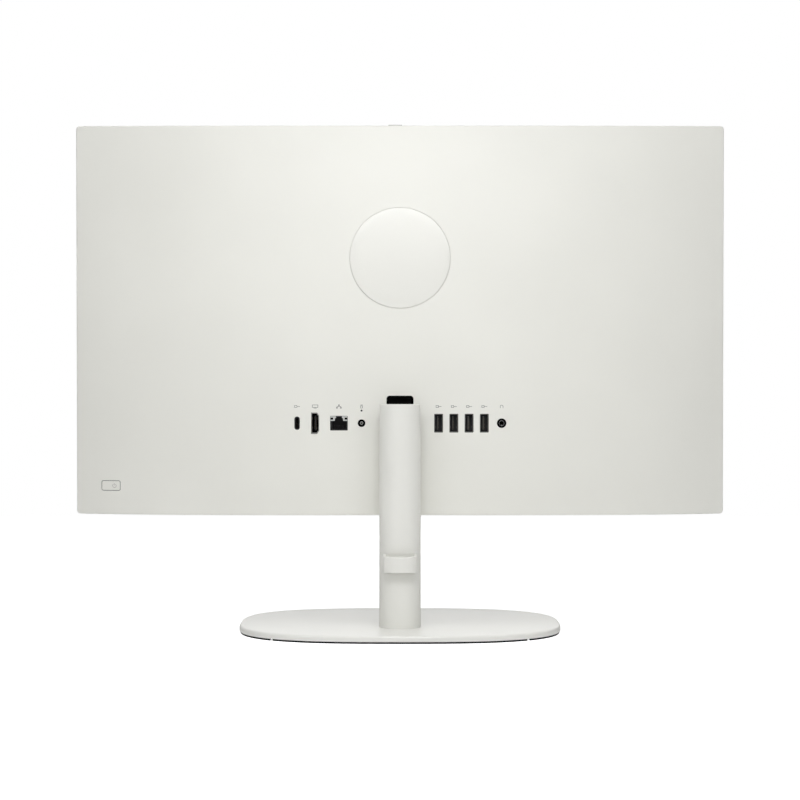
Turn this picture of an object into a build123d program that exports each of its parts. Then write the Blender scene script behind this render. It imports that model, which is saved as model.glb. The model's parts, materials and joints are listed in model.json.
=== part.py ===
from build123d import *
from math import cos, pi, sin
import os

# All-in-one computer on a pedestal stand. Millimetres, +Z up, the screen faces -Y.
# The origin is at the centre of the base's footprint, on the surface it stands on.

# Display head
HEAD_WIDTH = 540.0
HEAD_HEIGHT = 323.3
HEAD_BOTTOM = 96.5
HEAD_TOP = HEAD_BOTTOM + HEAD_HEIGHT
HEAD_MIDDLE = HEAD_BOTTOM + HEAD_HEIGHT / 2
CORNER_RADIUS = 3.0
FRONT_Y = -15.0
BEZEL_BACK_Y = -6.0
COVER_FRONT_Y = -5.8
CROWN_BOTTOM = 20.0
CROWN_TOP = 4.0
CROWN_POWER = 4.5
COVER_WALL = 2.2
BEZEL_WALL = 1.6

# Screen
WINDOW_HALF_WIDTH = 265.0
WINDOW_Z = (HEAD_TOP - 305.1, HEAD_TOP - 7.1)
PANEL_HALF_WIDTH = WINDOW_HALF_WIDTH + 1.8
PANEL_Z = (WINDOW_Z[0] - 1.1, WINDOW_Z[1] + 0.9)
GLASS_Y = (FRONT_Y + BEZEL_WALL, FRONT_Y + BEZEL_WALL + 1.2)
BACKLIGHT_Y = (GLASS_Y[1], -5.2)
FRAME_Y = (-5.2, -4.2)

# Tilt hinge
HINGE_Y = 6.5
HINGE_Z = 175.0
PIN_RADIUS = 3.0
PIN_CLEARANCE = 0.04
ARM_WIDTH = 15.0
ARM_SCREW_Z = (152.0, 160.0)
EAR_X = (8.1, 11.1)
BRACKET_SCREWS = [(x, z) for x in (-36.0, 36.0) for z in (149.0, 207.0)]

# Opening for the hinge arm in the rear cover
SOCKET_WIDTH = 22.0
SOCKET_Z = (160.0, 195.2)
SOCKET_WALL = 1.6

# Connector row
PORT_Z = 172.6
PORT_FACE_Y = 18.6
BOARD_Y = (2.0, 3.6)
USB_C_X = 85.1
USB_C_SIZE = (4.5, 11.0)
HDMI_X = 70.2
HDMI_SIZE = (6.7, 17.7)
HDMI_BEVEL = (1.7, 2.6)
LAN_X = 50.5
LAN_SIZE = (14.6, 12.1)
DC_X = 31.8
DC_RADIUS = 3.15
USB_A_X = (-31.9, -44.5, -57.1, -69.7)
USB_A_SIZE = (7.3, 15.5)
AUDIO_X = -84.05
AUDIO_RADIUS = 3.95
PORT_GAP = 0.25
STATUS_Z = 183.0

# Emblem, power button and camera shutter
EMBLEM_RADIUS = 41.9
EMBLEM_Z = 309.5
EMBLEM_DEPTH = 1.2
EMBLEM_RISE = 0.7
BUTTON_X = 240.5
BUTTON_Z = 120.4
BUTTON_SIZE = (16.2, 8.5)
BUTTON_GAP = 0.45
CAMERA_Z = HEAD_TOP - 4.2
SHUTTER_TAB_X = (-1.75, 9.75)
SHUTTER_SLOT_X = (-7.0, 12.8)

# Stand
BASE_WIDTH = 266.6
BASE_DEPTH = 198.0
BASE_TOP = 6.3
BASE_RIM_Z = 1.6
BASE_POWER = 2.85
BASE_WALL = 3.4
PLATE_TOP = 4.3
RING_WIDTH = 9.0
RING_GAP_X = 103.0
NECK_RADIUS = 17.05
NECK_Y = 37.5
NECK_FRONT_Y = 34.0
NECK_WALL = 2.0
NECK_TOP = 188.7
CAP_Z = 184.0
TAPER_Z = 160.0
TAPER_ANGLE = 1.6
SEAM_Y = 39.0
SEAM_GAP = 0.1
POST_HALF_WIDTH = 10.4
POST_Y = (37.0, 47.5)
POST_TOP = 181.5
POST_WALL = 2.0
POST_MIDDLE_Y = (POST_Y[0] + POST_Y[1]) / 2
FOOT_SCREW_X = (-5.0, 5.0)
LOOP_ROOT_Z = (51.6, 67.3)
LOOP_BACK_Z = (52.8, 65.2)
LOOP_HALF_WIDTH = 13.5
LOOP_ROOT_Y = 47.0
LOOP_BACK_Y = 65.0
LOOP_RADIUS = 17.0
LOOP_CORNER = 2.5
LOOP_WALL = 2.0

# Fan
FAN_X = 166.0
FAN_Z = 235.0
FAN_HALF = (38.0, 39.0)
ROTOR_RADIUS = 29.0
HUB_RADIUS = 13.0

# Mainboard, processor and speakers
STANDOFFS = [(x, z) for x in (-110, 110) for z in (158, 292)] + [(0, 292), (-30, 222)]
PROCESSOR_X = 52.0
PROCESSOR_Z = 246.0
SOCKET_ROWS = (226.0, 258.0)
SPEAKER_X = (139.0, 225.0)
SPEAKER_Z = (99.2, 113.0)

os.makedirs("parts", exist_ok=True)


def facing(y, x=0.0, z=0.0):
    """Upright plane at depth y: local x is X, local y is Z, and a negative extrusion goes back."""
    return Plane(origin=(x, y, z), x_dir=(1, 0, 0), z_dir=(0, -1, 0))


def brick(x, y, z, mode=Mode.ADD):
    """Box between the low and high limits given for each axis."""
    with Locations(((x[0] + x[1]) / 2, (y[0] + y[1]) / 2, (z[0] + z[1]) / 2)):
        Box(x[1] - x[0], y[1] - y[0], z[1] - z[0], mode=mode)


def rod(x, y, z, radius, mode=Mode.ADD):
    """Cylinder along Y between the two depths in y."""
    with Locations(Location((x, (y[0] + y[1]) / 2, z), (90, 0, 0))):
        Cylinder(radius, y[1] - y[0], mode=mode)


def cross_rod(x, y, z, radius, mode=Mode.ADD):
    """Cylinder along X between the two places in x."""
    with Locations(Location(((x[0] + x[1]) / 2, y, z), (0, 90, 0))):
        Cylinder(radius, x[1] - x[0], mode=mode)


def mirrored(limits):
    """The same span on the other side of the middle plane."""
    return (-limits[1], -limits[0])


def rear_depth(x, z):
    """How far the rear cover's outer face stands behind its edge at this place."""
    up = (z - HEAD_BOTTOM) / HEAD_HEIGHT
    crown = CROWN_BOTTOM - (CROWN_BOTTOM - CROWN_TOP) * up**2
    return crown * (1 - abs(2 * x / HEAD_WIDTH) ** CROWN_POWER)


def crowned_block(front_y, inset, margin=0.0, corner=CORNER_RADIUS):
    """Head-shaped block from front_y back to the crowned rear face moved in by inset."""
    reach = HEAD_WIDTH / 2 + 4
    stations = [reach * n / 10 for n in range(-10, 11)]
    levels = [HEAD_BOTTOM - 4 + (HEAD_HEIGHT + 8) * n / 6 for n in range(7)]
    with BuildPart() as crowned:
        for level in levels:
            with BuildSketch(Plane.XY.offset(level)):
                with BuildLine():
                    back = Spline(*[(x, rear_depth(x, level) - inset) for x in stations])
                    Polyline(back @ 1, (reach, front_y), (-reach, front_y), back @ 0)
                make_face()
        loft()
    with BuildPart() as block:
        with BuildSketch(facing(front_y, z=HEAD_MIDDLE)):
            RectangleRounded(HEAD_WIDTH - 2 * margin, HEAD_HEIGHT - 2 * margin, corner)
        extrude(amount=-60)
        add(crowned.part, mode=Mode.INTERSECT)
    return block.part


def base_outline(inset):
    """Points once round the base's superellipse outline moved in by inset, for a periodic spline."""
    points = []
    for n in range(48):
        c, s = cos(2 * pi * n / 48), sin(2 * pi * n / 48)
        x = (BASE_WIDTH / 2 - inset) * abs(c) ** (2 / BASE_POWER)
        y = (BASE_DEPTH / 2 - inset) * abs(s) ** (2 / BASE_POWER)
        points.append((x if c >= 0 else -x, y if s >= 0 else -y))
    return points


def base_slab(low, high, inset):
    """Flat slab with the base's outline moved in by inset."""
    with BuildPart() as slab:
        with BuildSketch(Plane.XY.offset(low)):
            with BuildLine():
                Spline(*base_outline(inset), periodic=True)
            make_face()
        extrude(amount=high - low)
    return slab.part


# ---------------------------------------------------------------- base

with BuildPart() as base_cover:
    add(base_slab(BASE_RIM_Z, BASE_TOP, 0))
    fillet(base_cover.edges().group_by(Axis.Z)[-1], 2.0)
    add(base_slab(BASE_RIM_Z, PLATE_TOP, BASE_WALL), mode=Mode.SUBTRACT)
    brick(
        (-POST_HALF_WIDTH - 0.2, POST_HALF_WIDTH + 0.2),
        (POST_Y[0] - 0.2, POST_Y[1] + 0.2),
        (PLATE_TOP, BASE_TOP),
        Mode.SUBTRACT,
    )
base_cover.part.label = "base_cover"
export_step(base_cover.part, "parts/base_cover.step")

with BuildPart() as base_plate:
    add(base_slab(BASE_RIM_Z, PLATE_TOP, BASE_WALL + 0.3))
    with Locations(*[Location((x, POST_MIDDLE_Y, BASE_RIM_Z), (180, 0, 0)) for x in FOOT_SCREW_X]):
        CounterSinkHole(2.05, 3.9, counter_sink_angle=90)
base_plate.part.label = "base_plate"
export_step(base_plate.part, "parts/base_plate.step")

with BuildPart() as rubber_feet:
    add(base_slab(0, BASE_RIM_Z, 0.8))
    add(base_slab(0, BASE_RIM_Z, 0.8 + RING_WIDTH), mode=Mode.SUBTRACT)
    for gap_x in (-RING_GAP_X, RING_GAP_X):
        brick((gap_x - 0.9, gap_x + 0.9), (-BASE_DEPTH, BASE_DEPTH), (0, BASE_RIM_Z), Mode.SUBTRACT)
rubber_feet.part.label = "rubber_feet"
export_step(rubber_feet.part, "parts/rubber_feet.step")

with BuildPart() as base_screws:
    for screw_x in FOOT_SCREW_X:
        with Locations((screw_x, POST_MIDDLE_Y, BASE_RIM_Z + 0.95)):
            Cone(3.8, 2.0, 1.8)
        with Locations((screw_x, POST_MIDDLE_Y, BASE_RIM_Z + 10)):
            Cylinder(2.0, 19)
        with Locations((screw_x, POST_MIDDLE_Y, BASE_RIM_Z + 0.05)):
            Cylinder(1.2, 1.6, mode=Mode.SUBTRACT)
base_screws.part.label = "base_screws"
export_step(base_screws.part, "parts/base_screws.step")

# ---------------------------------------------------------------- neck


def neck_block(low, high, inset, soften=2.5):
    """Upright D-shaped column, round behind and flat in front, drawn in a little near its top."""
    with BuildPart() as column:
        with BuildSketch() as outline:
            with Locations((0, NECK_Y)):
                Circle(NECK_RADIUS - inset)
            with Locations((0, NECK_FRONT_Y + inset - 20)):
                Rectangle(60, 40, mode=Mode.SUBTRACT)
            fillet(outline.vertices(), soften)
        extrude(amount=TAPER_Z)
        extrude(column.faces().sort_by(Axis.Z)[-1], amount=NECK_TOP - TAPER_Z + 1, taper=TAPER_ANGLE)
        brick((-40, 40), (0, 80), (low, high), Mode.INTERSECT)
    return column.part


def saddle_section(gap):
    """Curved strip let into the neck's back, on which the cable loop stands."""
    with BuildSketch() as strip:
        with Locations((0, NECK_Y)):
            Circle(NECK_RADIUS + 0.02)
            Circle(NECK_RADIUS - 1.2, mode=Mode.SUBTRACT)
        with Locations((0, NECK_Y + NECK_RADIUS)):
            Rectangle(2 * (LOOP_HALF_WIDTH + gap), 2 * NECK_RADIUS, mode=Mode.INTERSECT)
    return strip.sketch


def loop_section(inset):
    """Plan of the cable loop, straight at the sides and curved behind, moved in by inset."""
    with BuildSketch() as outline:
        with Locations((0, LOOP_BACK_Y - LOOP_RADIUS)):
            Circle(LOOP_RADIUS - inset)
        with Locations((0, LOOP_BACK_Y)):
            Rectangle(2 * (LOOP_HALF_WIDTH - inset), 2 * (LOOP_BACK_Y - NECK_Y), mode=Mode.INTERSECT)
        fillet(outline.vertices().group_by(Axis.Y)[-1], LOOP_CORNER - inset)
    return outline.sketch


with BuildPart() as neck_rear_shell:
    add(neck_block(BASE_TOP, CAP_Z, 0))
    add(neck_block(0, NECK_TOP, NECK_WALL, 1.0), mode=Mode.SUBTRACT)
    brick((-30, 30), (0, SEAM_Y + SEAM_GAP), (0, NECK_TOP), Mode.SUBTRACT)
    with BuildSketch(Plane.XY.offset(LOOP_ROOT_Z[0] - 0.1)):
        add(saddle_section(0.1))
    extrude(amount=LOOP_ROOT_Z[1] - LOOP_ROOT_Z[0] + 0.2, mode=Mode.SUBTRACT)
    brick((-3.2, 3.2), (49, 56), (55.8, 62.2), Mode.SUBTRACT)
neck_rear_shell.part.label = "neck_rear_shell"
export_step(neck_rear_shell.part, "parts/neck_rear_shell.step")

with BuildPart() as neck_front_shell:
    add(neck_block(BASE_TOP, CAP_Z, 0))
    add(neck_block(0, NECK_TOP, NECK_WALL, 1.0), mode=Mode.SUBTRACT)
    brick((-30, 30), (SEAM_Y - SEAM_GAP, 60), (0, NECK_TOP), Mode.SUBTRACT)
    brick((-8, 8), (30, 38), (164.4, CAP_Z + 1), Mode.SUBTRACT)
neck_front_shell.part.label = "neck_front_shell"
export_step(neck_front_shell.part, "parts/neck_front_shell.step")

with BuildPart() as neck_cap:
    add(neck_block(CAP_Z, NECK_TOP, 0))
    fillet(neck_cap.edges().group_by(Axis.Z)[-1], 0.4)
    add(neck_block(CAP_Z - 1.8, CAP_Z, NECK_WALL + 0.2, 1.0))
    brick((-8, 8), (30, 47), (CAP_Z - 3, CAP_Z), Mode.SUBTRACT)
neck_cap.part.label = "neck_cap"
export_step(neck_cap.part, "parts/neck_cap.step")

with BuildPart() as neck_post:
    brick((-POST_HALF_WIDTH, POST_HALF_WIDTH), POST_Y, (PLATE_TOP, POST_TOP))
    fillet(neck_post.edges().filter_by(Axis.Z), 1.2)
    brick(
        (-POST_HALF_WIDTH + POST_WALL, POST_HALF_WIDTH - POST_WALL),
        (POST_Y[0] + POST_WALL, POST_Y[1] - POST_WALL),
        (0, NECK_TOP),
        Mode.SUBTRACT,
    )
    brick((-7.7, 7.7), (POST_Y[0] - 1, POST_Y[0] + POST_WALL), (164.6, NECK_TOP), Mode.SUBTRACT)
    for screw_z in ARM_SCREW_Z:
        rod(0, (45, 48), screw_z, 2.1, Mode.SUBTRACT)
neck_post.part.label = "neck_post"
export_step(neck_post.part, "parts/neck_post.step")

with BuildPart() as neck_foot:
    brick(
        (-POST_HALF_WIDTH + POST_WALL + 0.1, POST_HALF_WIDTH - POST_WALL - 0.1),
        (POST_Y[0] + POST_WALL + 0.1, POST_Y[1] - POST_WALL - 0.1),
        (PLATE_TOP, 32),
    )
    chamfer(neck_foot.edges().group_by(Axis.Z)[-1], 1)
    for screw_x in FOOT_SCREW_X:
        with Locations((screw_x, POST_MIDDLE_Y, 14)):
            Cylinder(2.0, 20, mode=Mode.SUBTRACT)
neck_foot.part.label = "neck_foot"
export_step(neck_foot.part, "parts/neck_foot.step")

with BuildPart() as cable_loop:
    with BuildSketch(Plane.XY.offset(LOOP_ROOT_Z[0])):
        add(loop_section(0))
    extrude(amount=LOOP_ROOT_Z[1] - LOOP_ROOT_Z[0])
    # The ring is lower at its back than at its root, above and below
    with BuildSketch(Plane.YZ):
        with BuildLine():
            Polyline(
                (NECK_Y, LOOP_ROOT_Z[0]),
                (LOOP_ROOT_Y, LOOP_ROOT_Z[0]),
                (LOOP_BACK_Y, LOOP_BACK_Z[0]),
                (LOOP_BACK_Y, LOOP_BACK_Z[1]),
                (LOOP_ROOT_Y, LOOP_ROOT_Z[1]),
                (NECK_Y, LOOP_ROOT_Z[1]),
                close=True,
            )
        make_face()
    extrude(amount=2 * LOOP_HALF_WIDTH, both=True, mode=Mode.INTERSECT)
    slopes = cable_loop.faces().filter_by(lambda f: 0.9 < abs(f.normal_at().Z) < 0.9999)
    fillet(slopes.edges().filter_by(lambda e: e.center().Y > LOOP_ROOT_Y + 1), 0.5)
    with BuildSketch(Plane.XY.offset(LOOP_ROOT_Z[0])):
        add(loop_section(LOOP_WALL))
        with Locations((0, NECK_Y)):
            Circle(NECK_RADIUS)
    extrude(amount=LOOP_ROOT_Z[1] - LOOP_ROOT_Z[0], mode=Mode.SUBTRACT)
    with BuildSketch(Plane.XY.offset(LOOP_ROOT_Z[0])):
        add(saddle_section(0))
    extrude(amount=LOOP_ROOT_Z[1] - LOOP_ROOT_Z[0])
    brick((-3, 3), (50.8, 53.6), (56, 62))
cable_loop.part.label = "cable_loop"
export_step(cable_loop.part, "parts/cable_loop.step")

# ---------------------------------------------------------------- tilt hinge

with BuildPart() as hinge_arm:
    with BuildSketch(Plane.YZ.offset(-ARM_WIDTH / 2)):
        with Locations((HINGE_Y, HINGE_Z)):
            Circle(8)
        with BuildLine():
            Polyline(
                (HINGE_Y, HINGE_Z + 8),
                (33.0, 183.2),
                (45.2, 181.3),
                (45.2, 146.0),
                (39.2, 146.0),
                (39.2, 165.0),
                (33.0, 165.0),
                (HINGE_Y, HINGE_Z - 8),
                (HINGE_Y, HINGE_Z + 8),
            )
        make_face()
    extrude(amount=ARM_WIDTH)
    cross_rod((-10, 10), HINGE_Y, HINGE_Z, PIN_RADIUS, Mode.SUBTRACT)
    for screw_z in ARM_SCREW_Z:
        rod(0, (40, 46), screw_z, 2.0, Mode.SUBTRACT)
hinge_arm.part.label = "hinge_arm"
export_step(hinge_arm.part, "parts/hinge_arm.step")

with BuildPart() as arm_screws:
    for screw_z in ARM_SCREW_Z:
        rod(0, (40.5, 47.5), screw_z, 2.0)
        rod(0, (47.5, 49.4), screw_z, 3.6)
        rod(0, (48.4, 50), screw_z, 1.3, Mode.SUBTRACT)
arm_screws.part.label = "arm_screws"
export_step(arm_screws.part, "parts/arm_screws.step")

with BuildPart() as hinge_pin:
    cross_rod((-13.4, 11.4), HINGE_Y, HINGE_Z, PIN_RADIUS)
    cross_rod((11.4, 12.8), HINGE_Y, HINGE_Z, 4.5)
    fillet(hinge_pin.edges().group_by(Axis.X)[-1], 0.5)
    cross_rod((-12.6, -11.7), HINGE_Y, HINGE_Z, 3.5, Mode.SUBTRACT)
    cross_rod((-12.6, -11.7), HINGE_Y, HINGE_Z, 2.3)
hinge_pin.part.label = "hinge_pin"
export_step(hinge_pin.part, "parts/hinge_pin.step")

with BuildPart() as pin_clip:
    cross_rod((-12.5, -11.8), HINGE_Y, HINGE_Z, 5.0)
    cross_rod((-13, -11), HINGE_Y, HINGE_Z, 2.3, Mode.SUBTRACT)
    brick((-13, -11), (HINGE_Y - 1.6, HINGE_Y + 1.6), (HINGE_Z - 6, HINGE_Z), Mode.SUBTRACT)
pin_clip.part.label = "pin_clip"
export_step(pin_clip.part, "parts/pin_clip.step")

with BuildPart() as friction_washers:
    for low, high in ((-8.0, -7.5), (7.5, 8.0)):
        cross_rod((low, high), HINGE_Y, HINGE_Z, 6.5)
        cross_rod((low, high), HINGE_Y, HINGE_Z, PIN_RADIUS, Mode.SUBTRACT)
friction_washers.part.label = "friction_washers"
export_step(friction_washers.part, "parts/friction_washers.step")

with BuildPart() as stand_bracket:
    brick((-45, 45), (FRAME_Y[1], FRAME_Y[1] + 2), (140, 216))
    fillet(stand_bracket.edges().filter_by(Axis.Y), 6)
    for ear_x in (EAR_X, mirrored(EAR_X)):
        cross_rod(ear_x, HINGE_Y, HINGE_Z, 7)
        brick(ear_x, (FRAME_Y[1], HINGE_Y), (HINGE_Z - 7, HINGE_Z + 7))
        brick(ear_x, (FRAME_Y[1], 0.5), (HINGE_Z - 18, HINGE_Z + 18))
    cross_rod((-20, 20), HINGE_Y, HINGE_Z, PIN_RADIUS + PIN_CLEARANCE, Mode.SUBTRACT)
    for screw_x, screw_z in BRACKET_SCREWS:
        rod(screw_x, (-6, 0), screw_z, 2.2, Mode.SUBTRACT)
stand_bracket.part.label = "stand_bracket"
export_step(stand_bracket.part, "parts/stand_bracket.step")

with BuildPart() as bracket_screws:
    for screw_x, screw_z in BRACKET_SCREWS:
        rod(screw_x, (FRAME_Y[0], -2.2), screw_z, 2.0)
        rod(screw_x, (-2.2, -0.4), screw_z, 3.8)
        rod(screw_x, (-1.3, 0), screw_z, 1.3, Mode.SUBTRACT)
bracket_screws.part.label = "bracket_screws"
export_step(bracket_screws.part, "parts/bracket_screws.step")

# ---------------------------------------------------------------- connectors


def hdmi_outline(inset):
    """Upright rectangle whose two corners on the -X side are bevelled, moved in by inset."""
    half_width = HDMI_SIZE[0] / 2 - inset
    half_height = HDMI_SIZE[1] / 2 - inset
    with BuildSketch() as outline:
        with BuildLine():
            half = Polyline(
                (-half_width, 0),
                (-half_width, half_height - HDMI_BEVEL[1]),
                (-half_width + HDMI_BEVEL[0], half_height),
                (half_width, half_height),
                (half_width, 0),
            )
            mirror(half, about=Plane.XZ)
        make_face()
    return outline.sketch


def socket_outline(name, inset=0.0):
    """Outline of a connector's cut-out moved in by inset, drawn about its own centre."""
    if name == "hdmi":
        return hdmi_outline(inset)
    width, height, corner = {
        "usb_c": (*USB_C_SIZE, 2.1),
        "lan": (*LAN_SIZE, 0.6),
        "dc": (2 * DC_RADIUS, 2 * DC_RADIUS, DC_RADIUS - 0.05),
        "audio": (2 * AUDIO_RADIUS, 2 * AUDIO_RADIUS, AUDIO_RADIUS - 0.05),
        "usb_a": (*USB_A_SIZE, 0.6),
    }[name]
    with BuildSketch() as outline:
        RectangleRounded(width - 2 * inset, height - 2 * inset, max(corner - inset, 0.3))
    return outline.sketch


SOCKETS = [("usb_c", USB_C_X), ("hdmi", HDMI_X), ("lan", LAN_X), ("dc", DC_X), ("audio", AUDIO_X)]
SOCKETS += [("usb_a", x) for x in USB_A_X]


def connector_body(name, x, back_width, back_height):
    """Nose that reaches through its cut-out, on a wider body that stands on the mainboard."""
    with BuildPart() as body:
        with BuildSketch(facing(PORT_FACE_Y, x=x, z=PORT_Z)):
            add(socket_outline(name, PORT_GAP))
        extrude(amount=PORT_FACE_Y - BOARD_Y[1])
        brick(
            (x - back_width / 2, x + back_width / 2),
            (BOARD_Y[1], 13.6),
            (PORT_Z - back_height / 2, PORT_Z + back_height / 2),
        )
    return body.part


with BuildPart() as usb_c_port:
    add(connector_body("usb_c", USB_C_X, 4.8, 11.4))
    with BuildSketch(facing(PORT_FACE_Y, x=USB_C_X, z=PORT_Z)):
        RectangleRounded(2.8, 9.0, 1.35)
    extrude(amount=6.5, mode=Mode.SUBTRACT)
    brick((USB_C_X - 0.35, USB_C_X + 0.35), (11, 17.6), (PORT_Z - 3.3, PORT_Z + 3.3))
usb_c_port.part.label = "usb_c_port"
export_step(usb_c_port.part, "parts/usb_c_port.step")

with BuildPart() as hdmi_port:
    add(connector_body("hdmi", HDMI_X, 6.8, 17.8))
    with BuildSketch(facing(PORT_FACE_Y, x=HDMI_X, z=PORT_Z)):
        add(hdmi_outline(PORT_GAP + 0.6))
    extrude(amount=8, mode=Mode.SUBTRACT)
    brick((HDMI_X - 0.7, HDMI_X + 0.5), (9, 17.4), (PORT_Z - 5.8, PORT_Z + 5.8))
hdmi_port.part.label = "hdmi_port"
export_step(hdmi_port.part, "parts/hdmi_port.step")

with BuildPart() as lan_port:
    add(connector_body("lan", LAN_X, LAN_SIZE[0], 13.0))
    with BuildSketch(facing(PORT_FACE_Y, x=LAN_X, z=PORT_Z)):
        with Locations((0, -1.5)):
            Rectangle(11.9, 7.4)
        with Locations((0, 2.9)):
            Rectangle(7.8, 2.6)
        with Locations((0, 4.3)):
            Rectangle(4.9, 1.8)
    extrude(amount=11, mode=Mode.SUBTRACT)
lan_port.part.label = "lan_port"
export_step(lan_port.part, "parts/lan_port.step")

with BuildPart() as dc_jack:
    rod(DC_X, (BOARD_Y[1], PORT_FACE_Y), PORT_Z, DC_RADIUS - PORT_GAP)
    brick((DC_X - 4.2, DC_X + 4.2), (BOARD_Y[1], 13.6), (PORT_Z - 4.6, PORT_Z + 4.6))
    rod(DC_X, (8, PORT_FACE_Y + 1), PORT_Z, 2.2, Mode.SUBTRACT)
    rod(DC_X, (8, 17.6), PORT_Z, 1.15)
    rod(DC_X, (9, PORT_FACE_Y), PORT_Z, 0.5, Mode.SUBTRACT)
dc_jack.part.label = "dc_jack"
export_step(dc_jack.part, "parts/dc_jack.step")

with BuildPart() as usb_a_ports:
    for port_x in USB_A_X:
        add(connector_body("usb_a", port_x, 7.6, 15.4))
        brick((port_x - 2.6, port_x + 2.6), (5.6, 20), (PORT_Z - 6.3, PORT_Z + 6.3), Mode.SUBTRACT)
        brick((port_x + 0.2, port_x + 2.0), (5.6, 16.9), (PORT_Z - 5.6, PORT_Z + 5.6))
usb_a_ports.part.label = "usb_a_ports"
export_step(usb_a_ports.part, "parts/usb_a_ports.step")

with BuildPart() as audio_jack:
    rod(AUDIO_X, (BOARD_Y[1], PORT_FACE_Y), PORT_Z, AUDIO_RADIUS - PORT_GAP)
    brick((AUDIO_X - 4.5, AUDIO_X + 4.5), (BOARD_Y[1], 13.6), (PORT_Z - 5, PORT_Z + 5))
    rod(AUDIO_X, (6, PORT_FACE_Y + 1), PORT_Z, 1.8, Mode.SUBTRACT)
audio_jack.part.label = "audio_jack"
export_step(audio_jack.part, "parts/audio_jack.step")

with BuildPart() as status_lens:
    rod(DC_X, (BOARD_Y[1], 18.9), STATUS_Z, 0.7)
status_lens.part.label = "status_lens"
export_step(status_lens.part, "parts/status_lens.step")

with BuildPart() as port_bracket:
    brick((-96, 96), (14.6, 15.4), (160, 207))
    brick((-22, 22), (14, 16), (159, 199.5), Mode.SUBTRACT)
    for leg_x in ((-96, -95), (95, 96)):
        brick(leg_x, (BOARD_Y[1], 15), (164, 182))
    for name, port_x in SOCKETS:
        with BuildSketch(facing(14, x=port_x, z=PORT_Z)):
            add(socket_outline(name, -0.2))
        extrude(amount=-2, mode=Mode.SUBTRACT)
    rod(DC_X, (14, 16), STATUS_Z, 1.2, Mode.SUBTRACT)
port_bracket.part.label = "port_bracket"
export_step(port_bracket.part, "parts/port_bracket.step")

# ---------------------------------------------------------------- rear cover

head_skin = crowned_block(COVER_FRONT_Y, 0)
head_under_emblem = crowned_block(COVER_FRONT_Y, EMBLEM_DEPTH)
head_over_emblem = crowned_block(COVER_FRONT_Y, -EMBLEM_RISE)
head_inside = crowned_block(COVER_FRONT_Y - 2, COVER_WALL, COVER_WALL, 1.0)

with BuildPart() as emblem_pocket:
    rod(0, (5, 30), EMBLEM_Z, EMBLEM_RADIUS + 0.15)
    add(head_under_emblem, mode=Mode.SUBTRACT)

with BuildPart() as rear_cover:
    add(head_skin)
    rim = rear_cover.edges().filter_by(lambda e: e.center().Y > -0.5 and e.length > 200)
    fillet(rim, 1.0)
    add(head_inside, mode=Mode.SUBTRACT)
    add(emblem_pocket.part, mode=Mode.SUBTRACT)
    with BuildSketch(facing(10, z=(SOCKET_Z[0] + SOCKET_Z[1]) / 2)):
        RectangleRounded(SOCKET_WIDTH + 0.3, SOCKET_Z[1] - SOCKET_Z[0] + 0.3, 2.6)
    extrude(amount=-20, mode=Mode.SUBTRACT)
    for name, port_x in SOCKETS:
        with BuildSketch(facing(10, x=port_x, z=PORT_Z)):
            add(socket_outline(name))
        extrude(amount=-20, mode=Mode.SUBTRACT)
    rod(DC_X, (10, 30), STATUS_Z, 0.85, Mode.SUBTRACT)
    with BuildSketch(facing(0, x=BUTTON_X, z=BUTTON_Z)):
        RectangleRounded(BUTTON_SIZE[0], BUTTON_SIZE[1], 1.6)
    extrude(amount=-20, mode=Mode.SUBTRACT)
    # Air intake and speaker slots in the bottom wall, exhaust slots in the top wall
    with Locations((0, 6, HEAD_BOTTOM + 1)):
        with GridLocations(6.0, 0, 41, 1):
            Box(2.0, 9, 6, mode=Mode.SUBTRACT)
    for side in (-1, 1):
        with Locations((side * 182, 2, HEAD_BOTTOM + 1)):
            with GridLocations(4.0, 0, 17, 1):
                Box(1.6, 5, 6, mode=Mode.SUBTRACT)
    with Locations((150, -2.6, HEAD_TOP - 1)):
        with GridLocations(5.0, 0, 23, 1):
            Box(3.0, 2.4, 6, mode=Mode.SUBTRACT)
rear_cover.part.label = "rear_cover"
export_step(rear_cover.part, "parts/rear_cover.step")

with BuildPart() as emblem_disc:
    rod(0, (5, 30), EMBLEM_Z, EMBLEM_RADIUS)
    add(head_over_emblem, mode=Mode.INTERSECT)
    add(head_under_emblem, mode=Mode.SUBTRACT)
emblem_disc.part.label = "emblem_disc"
export_step(emblem_disc.part, "parts/emblem_disc.step")

with BuildPart() as hinge_socket:
    middle_z = (SOCKET_Z[0] + SOCKET_Z[1]) / 2
    height = SOCKET_Z[1] - SOCKET_Z[0]
    with BuildSketch(facing(14.6, z=middle_z)):
        RectangleRounded(SOCKET_WIDTH, height, 2.5)
    extrude(amount=-10)
    with BuildSketch(facing(14.6, z=middle_z)):
        RectangleRounded(SOCKET_WIDTH + 6, height + 6, 4)
    extrude(amount=-1.0)
    with BuildSketch(facing(14, z=middle_z)):
        RectangleRounded(SOCKET_WIDTH - 2 * SOCKET_WALL, height - 2 * SOCKET_WALL, 1.5)
    extrude(amount=-20, mode=Mode.SUBTRACT)
    add(head_skin, mode=Mode.INTERSECT)
hinge_socket.part.label = "hinge_socket"
export_step(hinge_socket.part, "parts/hinge_socket.step")

# ---------------------------------------------------------------- power button

with BuildPart() as power_button:
    with BuildSketch(facing(1.6, x=BUTTON_X, z=BUTTON_Z)):
        RectangleRounded(BUTTON_SIZE[0] - 2 * BUTTON_GAP, BUTTON_SIZE[1] - 2 * BUTTON_GAP, 1.15)
    extrude(amount=-20)
    with BuildSketch(facing(1.6, x=BUTTON_X, z=BUTTON_Z)):
        RectangleRounded(BUTTON_SIZE[0] + 2.2, BUTTON_SIZE[1] + 2.2, 1.6)
    extrude(amount=-1.2)
    add(head_skin, mode=Mode.INTERSECT)
power_button.part.label = "power_button"
export_step(power_button.part, "parts/power_button.step")

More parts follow.
